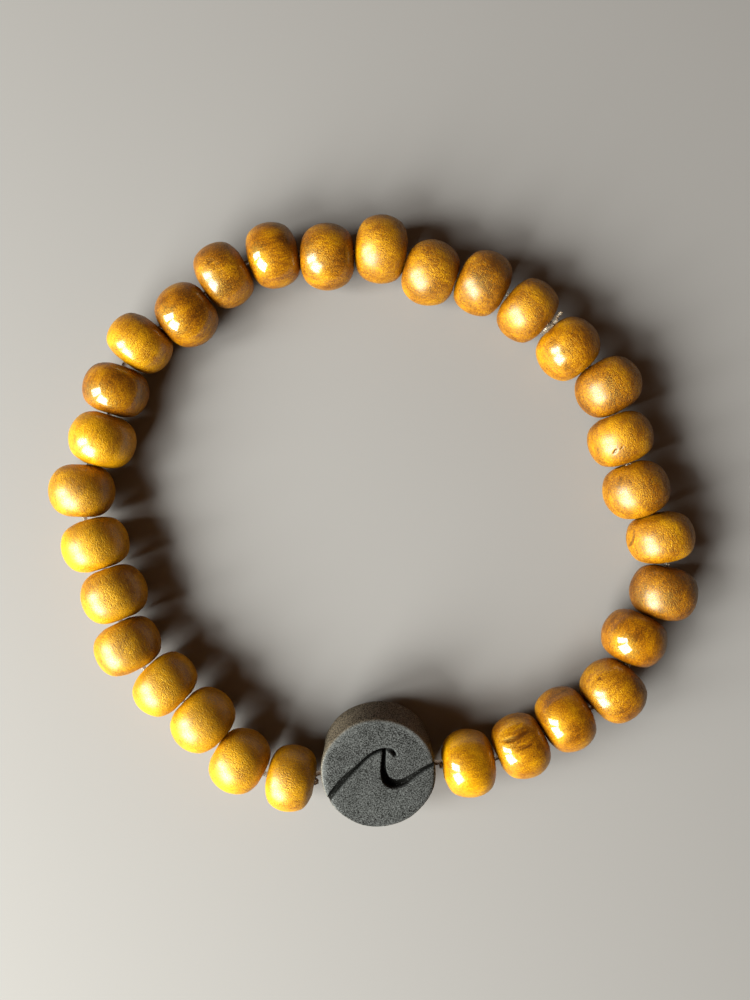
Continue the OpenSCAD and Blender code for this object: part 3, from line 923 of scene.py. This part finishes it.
def clay_material():
    """Matt grey clay: colour and relief come from grains of about 0.1 mm in Object coordinates, which
    are metres. The cut is darkened, the edges are paler at some bearings and darker at others, by wear and
    by painted light, a few grains are painted glints, and the round wall is browner and brighter with
    painted warm bounce light."""
    material, tree, surface = new_material("grey clay")
    place = add_node(tree, "ShaderNodeTexCoord").outputs["Object"]
    grains = add_node(tree, "ShaderNodeTexVoronoi", {"Vector": place, "Scale": GRAIN_CELLS})
    grit = add_node(tree, "ShaderNodeTexNoise", {"Vector": place, "Scale": GRIT_SCALE, "Detail": 3.0})
    smears = add_node(tree, "ShaderNodeTexNoise", {"Vector": place, "Scale": SMEAR_SCALE, "Detail": 3.0})
    tint = add_node(tree, "ShaderNodeSeparateColor", {"Color": grains.outputs["Color"]})
    cut, edge, side = (attribute(tree, name) for name in ("cut", "edge", "side"))
    value = calculate(tree, "ADD", spread(tree, smears.outputs[0], 0.3, 0.7, -SMEAR_VALUE, SMEAR_VALUE),
                      spread(tree, grit.outputs[0], 0.35, 0.65, GRIT_DARK, GRIT_PALE))
    value = calculate(tree, "ADD", value, spread(tree, tint.outputs[2], 0, 1, -GRAIN_VALUE, GRAIN_VALUE))
    # The edge is made paler here, partly for wear and partly as painted light.
    value = calculate(tree, "ADD", value, calculate(tree, "MULTIPLY", edge, WORN_AND_LIT_VALUE))
    # The cut is made darker, nearly black in its floor.
    value = calculate(tree, "MULTIPLY", value, spread(tree, cut, 0.1, 0.55, AT_CUT_EDGE, IN_CUT))
    # Painted warm bounce light: the round wall is made brighter all round.
    value = calculate(tree, "MULTIPLY", value, spread(tree, side, 0.0, 1.0, 1.0, WALL_BOUNCE_GAIN))
    # Painted glints: a few grains, more of them at the edge, are painted pale as if they caught the light.
    painted_glints = calculate(tree, "MULTIPLY", spread(tree, tint.outputs[0], 0.95, 0.98),
                       spread(tree, edge, 0.0, 0.5, GLINT_VALUE, GLINT_ON_EDGE))
    value = calculate(tree, "ADD", value, painted_glints)
    # Painted warm bounce light: the round wall is tinted browner.
    stone = mix_colours(tree, side, SLATE, WALL_BOUNCE_TINT)
    raised = calculate(tree, "MULTIPLY", tint.outputs[1], GRAIN_RISE)
    fill(surface, {
        "Base Color": mix_colours(tree, value, BLACK, stone),
        "Normal": bumped(tree, calculate(tree, "ADD", raised, grit.outputs[0]), CLAY_BUMP),
        "Roughness": CLAY_ROUGHNESS,
        "Specular IOR Level": CLAY_SPECULAR,
    })
    return material


CLAY = clay_material()
print("the", CLAY.name, "has", len(CLAY.node_tree.nodes), "nodes")

# %% [markdown]
# ## The disc in its place
# The elastic holds the disc's bore level with the bores of the beads, four millimetres up. A disc that
# lay flat would have it a millimetre lower, so this one leans on its outer edge by eight degrees. It is
# easiest to roughen and cut it while it is level about the origin, and then to turn the finished points
# into place.

# %% The disc
DISC_LEAN = 8.0
GRIT_HEIGHT, GRIT_LIMIT, GRIT_SEED = 0.010, 2, 5
WARP, WARP_WAVELENGTH, WARP_SEED = 0.03, 5.0, 6
CUT_REACH = 1.3
WALL_EASE = 0.15


def level_way(start, end):
    """Unit vector from a point towards another as seen from above: the height between them is 0."""
    way = (end - start) * [1, 1, 0]
    return way / np.linalg.norm(way)


def roughened(local, out, skin):
    """Moves the points of the disc's skin in or out by a seeded grit and a long warp."""
    grit = np.random.default_rng(GRIT_SEED).normal(size=len(local)).clip(-GRIT_LIMIT, GRIT_LIMIT)
    relief = GRIT_HEIGHT * grit + WARP * waves(local, WARP_SEED, WARP_WAVELENGTH)
    return local + out * (relief * skin)[:, None]


def make_disc(middle, along):
    """The clay disc: its grid is roughened and cut with x along its bore. Each point's x, y and z then
    count along the bore, up the leaning face and out of it."""
    local = DISC_GRID.reshape(-1, 3)
    out = local / np.linalg.norm(local, axis=1, keepdims=True)
    skin = np.repeat(np.arange(len(DISC_GRID)) < DISC_ROWS, DISC_AROUND)
    local = roughened(local, out, skin)
    depth = np.maximum(stroke_depth(local[:, :2], WAVE_RISE), stroke_depth(local[:, :2], WAVE_FALL))
    share = np.clip((local[:, 2] - DISC_HALF_T + CUT_REACH) / CUT_REACH, 0, 1)
    local[:, 2] -= depth * share
    side = np.cross(UP, along)
    lean = math.radians(DISC_LEAN)
    uphill = side * math.cos(lean) + UP * math.sin(lean)
    facing = UP * math.cos(lean) - side * math.sin(lean)
    points = middle + local @ np.array([along, uphill, facing])
    quads = grid_quads(*DISC_GRID.shape[:2])
    piece = make_piece("clay_disc", points, [quads], CLAY, "wave_disc")
    paint(piece, "cut", depth / DEEPEST_CUT * share)
    # Paleness of the edge, partly wear and partly painted light, is painted on the points.
    paint(piece, "edge", edge_wear_and_light(out) * skin)
    paint(piece, "side", np.clip(beyond_edge(out) / WALL_EASE, 0, 1))
    return piece


disc_points = node_points("wave_disc")
DISC_MIDDLE = (disc_points.min(axis=0) + disc_points.max(axis=0)) / 2
DISC_ALONG = level_way(PLACES[BEADS[-1]][0], PLACES[BEADS[0]][0])
disc = make_disc(DISC_MIDDLE, DISC_ALONG)
print("the disc has", len(disc.data.polygons) * 2, "triangles")

# %% [markdown]
# ## The route of the elastic
# One clear elastic cord, 0.6 mm thick, runs through every bore. Pulled taut, it takes the short way:
# from the middle of each gap to the middle of each bead, and through the disc on its outer side. A
# few points are enough, and a smooth curve joins them.

# %% Points on the elastic's way
THREAD_ASIDE = 0.6
ROUTE_STEPS = 10


def mouth(name, end):
    """The middle of a bead's mouth, at its end 1 or -1: where the dome would cross the bore's axis."""
    middle, along, _, half_length = PLACES[name]
    return middle + along * half_length * end


def gap_middle(name, following):
    """The middle between the facing mouths of two neighbouring beads."""
    return (mouth(name, 1) + mouth(following, -1)) / 2


def elastic_route():
    """Points that the elastic passes: bead middles, the middles between facing mouths, and beside the
    disc the mouths of both beads and of the disc, where it keeps to the outer side."""
    aside = THREAD_ASIDE * np.cross(DISC_ALONG, UP)
    route = [DISC_MIDDLE + DISC_ALONG * DISC_R * end + aside for end in (-1, 1)]
    route.append(mouth(BEADS[0], -1))
    for name, following in zip(BEADS, BEADS[1:]):
        route += [PLACES[name][0], gap_middle(name, following)]
    return np.array(route + [PLACES[BEADS[-1]][0], mouth(BEADS[-1], 1)])


ROUTE = smooth_line(elastic_route(), ROUTE_STEPS, closed=True)
around_the_ring = np.linalg.norm(np.diff(ROUTE, axis=0, append=ROUTE[:1]), axis=1).sum()
print("the elastic is", round(float(around_the_ring), 1), "mm long")

# %% [markdown]
# ## Clear elastic
# The cord is clear but slightly cloudy: it shows as a pale glint between two beads, and not as a line.
# Full transmission would be glass. With three quarters of it, and a little cloud in its colour and
# gloss, it looks like the soft plastic that it is.

# %% Elastic
CLEAR, CLOUDY = (0.80, 0.66, 0.54, 1), (0.60, 0.48, 0.40, 1)
CLEAR_ROUGHNESS, CLOUDY_ROUGHNESS = 0.18, 0.34
CLOUD_SCALE, CLOUD_DETAIL = 900.0, 2.0
LIGHT_THROUGH = 0.75
ELASTIC_IOR = 1.49


def elastic_material():
    """Clear, slightly cloudy elastic: most light passes, and its skin has a soft gloss."""
    material, tree, surface = new_material("clear elastic")
    place = add_node(tree, "ShaderNodeTexCoord").outputs["Object"]
    inputs = {"Vector": place, "Scale": CLOUD_SCALE, "Detail": CLOUD_DETAIL}
    cloud = add_node(tree, "ShaderNodeTexNoise", inputs).outputs[0]
    gloss = spread(tree, cloud, NOISE_LOW, NOISE_HIGH, CLEAR_ROUGHNESS, CLOUDY_ROUGHNESS)
    fill(surface, {
        "Base Color": mix_colours(tree, cloud, CLEAR, CLOUDY),
        "Roughness": gloss,
        "Transmission Weight": LIGHT_THROUGH,
        "IOR": ELASTIC_IOR,
    })
    return material


ELASTIC = elastic_material()
print("the", ELASTIC.name, "has", len(ELASTIC.node_tree.nodes), "nodes")

# %% [markdown]
# ## The cord
# A round profile carried along the route makes the cord. A curve object with a bevel would do so too,
# but it has no faces to count or check until it is turned into a mesh. Two directions square to the
# line, level and upright, carry the profile, so it never twists.

# %% Cord
ELASTIC_R = 0.3
TUBE_SIDES = 14
# Added to the level direction, so that it doesn't vanish where a line runs straight up
OFF_PLUMB = np.array([1e-6, 0, 0])


def tube(path, radius, closed):
    """Rings of points round a path: a circle in the plane of two directions that are square to the
    path, one level and one upright from it."""
    if closed:
        ahead = np.roll(path, -1, axis=0) - np.roll(path, 1, axis=0)
    else:
        ahead = np.gradient(path, axis=0)
    ahead /= np.linalg.norm(ahead, axis=1, keepdims=True)
    level = np.cross(ahead, UP) + OFF_PLUMB
    level /= np.linalg.norm(level, axis=1, keepdims=True)
    upright = np.cross(level, ahead)
    turn = np.linspace(0, 2 * math.pi, TUBE_SIDES, endpoint=False)[None, :, None]
    circle = level[:, None] * np.cos(turn) + upright[:, None] * np.sin(turn)
    return path[:, None] + circle * np.broadcast_to(radius, len(path))[:, None, None]


cord_rings = tube(ROUTE, ELASTIC_R, True)
cord_quads = grid_quads(len(ROUTE), TUBE_SIDES)
cord = make_piece("elastic_cord", cord_rings, [cord_quads], ELASTIC, "elastic_thread")
print("the cord has", len(cord.data.polygons) * 2, "triangles")

# %% [markdown]
# ## The knot
# Between the eleventh and the twelfth bead the elastic is tied, and its two trimmed tails stand out.
# One line makes it all: it comes in from the tip of a tail, winds twice round the taut cord, and
# leaves as the other tail. The same tube function carries the profile, thinner towards the tails.

# %% Line of the knot
WRAP_R = 0.73
WRAP_PITCH = 0.44
WRAP_POINTS = 90
WRAP_TRIM = 6
# Length (mm) and rise (degrees) of each tail
TAILS = ((1.95, 58.0), (2.6, 32.0))
TAIL_POINTS = 14
TAIL_FOOT = 0.5
TAIL_ASIDE = 0.12


def knot_line():
    """The knot's line about the middle of its gap, as (along the cord, outwards, up): a tail tip, two
    turns of a helix round the cord, a tail tip. It starts and ends on the helix's outer side."""
    turn = np.linspace(math.radians(TAILS[0][1]), math.radians(TAILS[1][1]) + 4 * math.pi, WRAP_POINTS)
    along = np.linspace(-WRAP_PITCH, WRAP_PITCH, WRAP_POINTS)
    helix = np.column_stack([along, WRAP_R * np.cos(turn), WRAP_R * np.sin(turn)])
    ends = []
    for (length, rise), side in zip(TAILS, (-1, 1)):
        reach = np.linspace(WRAP_R + TAIL_FOOT, length, TAIL_POINTS)
        aside = np.full(TAIL_POINTS, side * TAIL_ASIDE)
        outwards, up = math.cos(math.radians(rise)), math.sin(math.radians(rise))
        ends.append(np.column_stack([aside, reach * outwards, reach * up]))
    return np.concatenate([ends[0][::-1], helix[WRAP_TRIM:-WRAP_TRIM], ends[1]])


print("the knot's line has", len(knot_line()), "points")

# %% [markdown]
# A tail that is cut off square would show a flat end of a few faces. The radius of the tube follows a
# quarter circle to nothing at both tips instead, and one point closes each.

# %% Knot and tails
KNOT_BEADS = ("bead_11", "bead_12")
KNOT_STEPS = 2
TAIL_R = 0.25
THINNING_FROM, THINNING_RUN = 1.2, 2.0
TIP_START = 0.02


def tail_radius(run):
    """Radius of the knot's tube at each running length: the cord's own in the wraps, thinner in the
    tails, and a quarter circle at each tip."""
    to_tip = np.minimum(run, run[-1] - run)
    thinned = np.clip((to_tip - THINNING_FROM) / THINNING_RUN, 0, 1)
    radius = TAIL_R + (ELASTIC_R - TAIL_R) * thinned
    return radius * np.sqrt(1 - (1 - np.clip(to_tip / TAIL_R, TIP_START, 1)) ** 2)


def make_knot():
    """The knot's tube along its line, closed at both tips and set in its gap."""
    onwards = level_way(*(PLACES[name][0] for name in KNOT_BEADS))
    outwards = np.cross(onwards, UP)
    line = smooth_line(knot_line(), KNOT_STEPS)
    path = gap_middle(*KNOT_BEADS) + line[:, :1] * onwards + line[:, 1:2] * outwards + line[:, 2:] * UP
    rings = tube(path, tail_radius(running_length(path)), False)
    points = np.concatenate([rings.reshape(-1, 3), path[:1], path[-1:]])
    faces = [grid_quads(len(rings), TUBE_SIDES, closed=False), end_fans(len(rings), TUBE_SIDES)]
    return make_piece("tied_knot", points, faces, ELASTIC, "elastic_knot")


knot = make_knot()
print("the knot has", len(knot.data.vertices), "points")

# %% [markdown]
# ## The last step
# The box of the dressed bracelet is printed next to that of its solids.

# %% Sizes, and the end
boxes = {"solids": solid_box, "dressed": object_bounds()}
for key, (low, high) in boxes.items():
    print(key, "from", (np.array(low) / MM).round(2), "to", (np.array(high) / MM).round(2), "mm")
